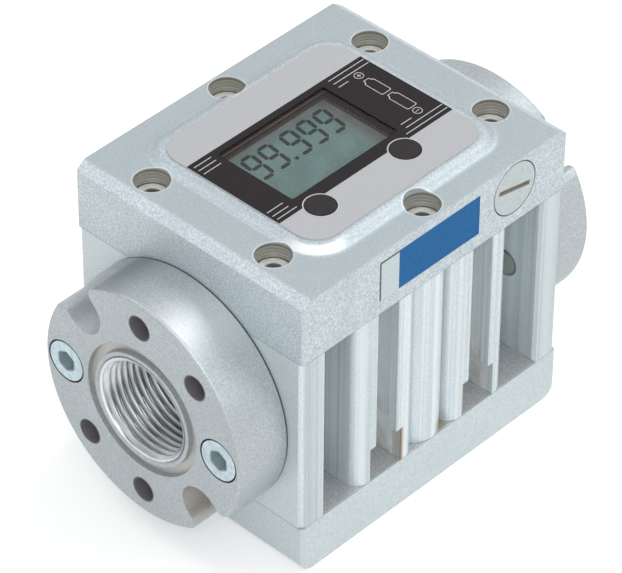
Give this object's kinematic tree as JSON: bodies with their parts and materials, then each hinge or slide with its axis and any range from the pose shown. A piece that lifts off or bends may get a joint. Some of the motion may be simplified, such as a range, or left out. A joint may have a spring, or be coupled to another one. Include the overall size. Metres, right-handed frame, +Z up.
{
  "type": "digital flow meter",
  "caption": "In-line digital flow meter: ribbed aluminium block between threaded round flanges, with a battery display and two push buttons on its top cover.",
  "frame": {"origin": "middle of the block's underside", "axes": "+X along the flow from the inlet flange to the outlet flange, -Y towards the battery cap and label, +Z up through the display"},
  "size_m": [0.146, 0.0875, 0.1022],
  "materials": {
    "body_aluminium": "extruded and anodised, fine lines along the ribs",
    "cover_aluminium": "die cast and sandblasted, anodised",
    "flange_aluminium": "die cast and sandblasted, faced where it seals",
    "zinc_screw": "bright zinc plated steel",
    "nickel_screw": "nickel plated steel",
    "seal_rubber": "black nitrile rubber",
    "pin_steel": "ground steel",
    "gear_steel": "sintered steel",
    "bush_bronze": "sintered bronze",
    "magnet_metal": "nickel plated magnet",
    "overlay_print": "printed polyester film",
    "clear_window": "clear polycarbonate",
    "frame_plastic": "black moulded plastic",
    "lcd_glass": "grey-green liquid crystal display",
    "board_green": "coated circuit board",
    "switch_plastic": "black moulded plastic",
    "button_plastic": "black moulded plastic",
    "cell_jacket": "printed shrink film",
    "contact_metal": "plated spring bronze",
    "cap_aluminium": "turned and anodised",
    "label_film": "printed vinyl label"
  },
  "bodies": {
    "meter": {"meter_body": "body_aluminium", "top_cover": "cover_aluminium", "bottom_cover": "cover_aluminium", "inlet_flange": "flange_aluminium", "outlet_flange": "flange_aluminium", "inlet_flange_screws": "zinc_screw", "outlet_flange_screws": "zinc_screw", "top_cover_screws": "nickel_screw", "bottom_cover_screws": "nickel_screw", "top_seal": "seal_rubber", "bottom_seal": "seal_rubber", "inlet_seal": "seal_rubber", "outlet_seal": "seal_rubber", "gear_pin_front": "pin_steel", "gear_pin_rear": "pin_steel", "display_overlay": "overlay_print", "display_window": "clear_window", "display_frame": "frame_plastic", "lcd_module": "lcd_glass", "circuit_board": "board_green", "board_screws": "nickel_screw", "reset_switch": "switch_plastic", "calibration_switch": "switch_plastic", "pulse_sensor": "switch_plastic", "battery_front": "cell_jacket", "battery_rear": "cell_jacket", "battery_contact": "contact_metal", "side_label": "label_film"},
    "front_gear": {"metering_gear_front": "gear_steel", "gear_bush_front": "bush_bronze", "gear_magnets": "magnet_metal"},
    "rear_gear": {"metering_gear_rear": "gear_steel", "gear_bush_rear": "bush_bronze"},
    "reset_key": {"reset_button": "button_plastic"},
    "calibration_key": {"calibration_button": "button_plastic"},
    "cap_ring": {"battery_cap_seal": "seal_rubber"},
    "cap": {"battery_cap": "cap_aluminium", "contact_spring": "contact_metal"}
  },
  "joints": [
    {"name": "front_gear_turn", "type": "hinge", "parent": "meter", "child": "front_gear", "pos_m": [0, -0.01375, 0.0475], "axis": [0, 0, 1], "continuous": true},
    {"name": "rear_gear_turn", "type": "hinge", "parent": "meter", "child": "rear_gear", "pos_m": [0, 0.01375, 0.0475], "axis": [0, 0, 1], "continuous": true},
    {"name": "reset_press", "type": "slide", "parent": "meter", "child": "reset_key", "axis": [0, 0, -1], "range_m": [0, 0.0005], "stiffness_N_per_m": 800, "springref_m": -0.0003},
    {"name": "calibration_press", "type": "slide", "parent": "meter", "child": "calibration_key", "axis": [0, 0, -1], "range_m": [0, 0.0005], "stiffness_N_per_m": 800, "springref_m": -0.0003},
    {"name": "cap_out", "type": "slide", "parent": "meter", "child": "cap_ring", "axis": [0, -1, 0], "range_m": [0, 0.0076]},
    {"name": "cap_turn", "type": "hinge", "parent": "cap_ring", "child": "cap", "pos_m": [0.032, -0.0437, 0.0903], "axis": [0, -1, 0], "range_deg": [0, 1800]}
  ],
  "couplings": [
    {"joint": "rear_gear_turn", "follows": "front_gear_turn", "ratio": -1},
    {"joint": "cap_out", "follows": "cap_turn", "m_per_rad": 0.00023873}
  ]
}
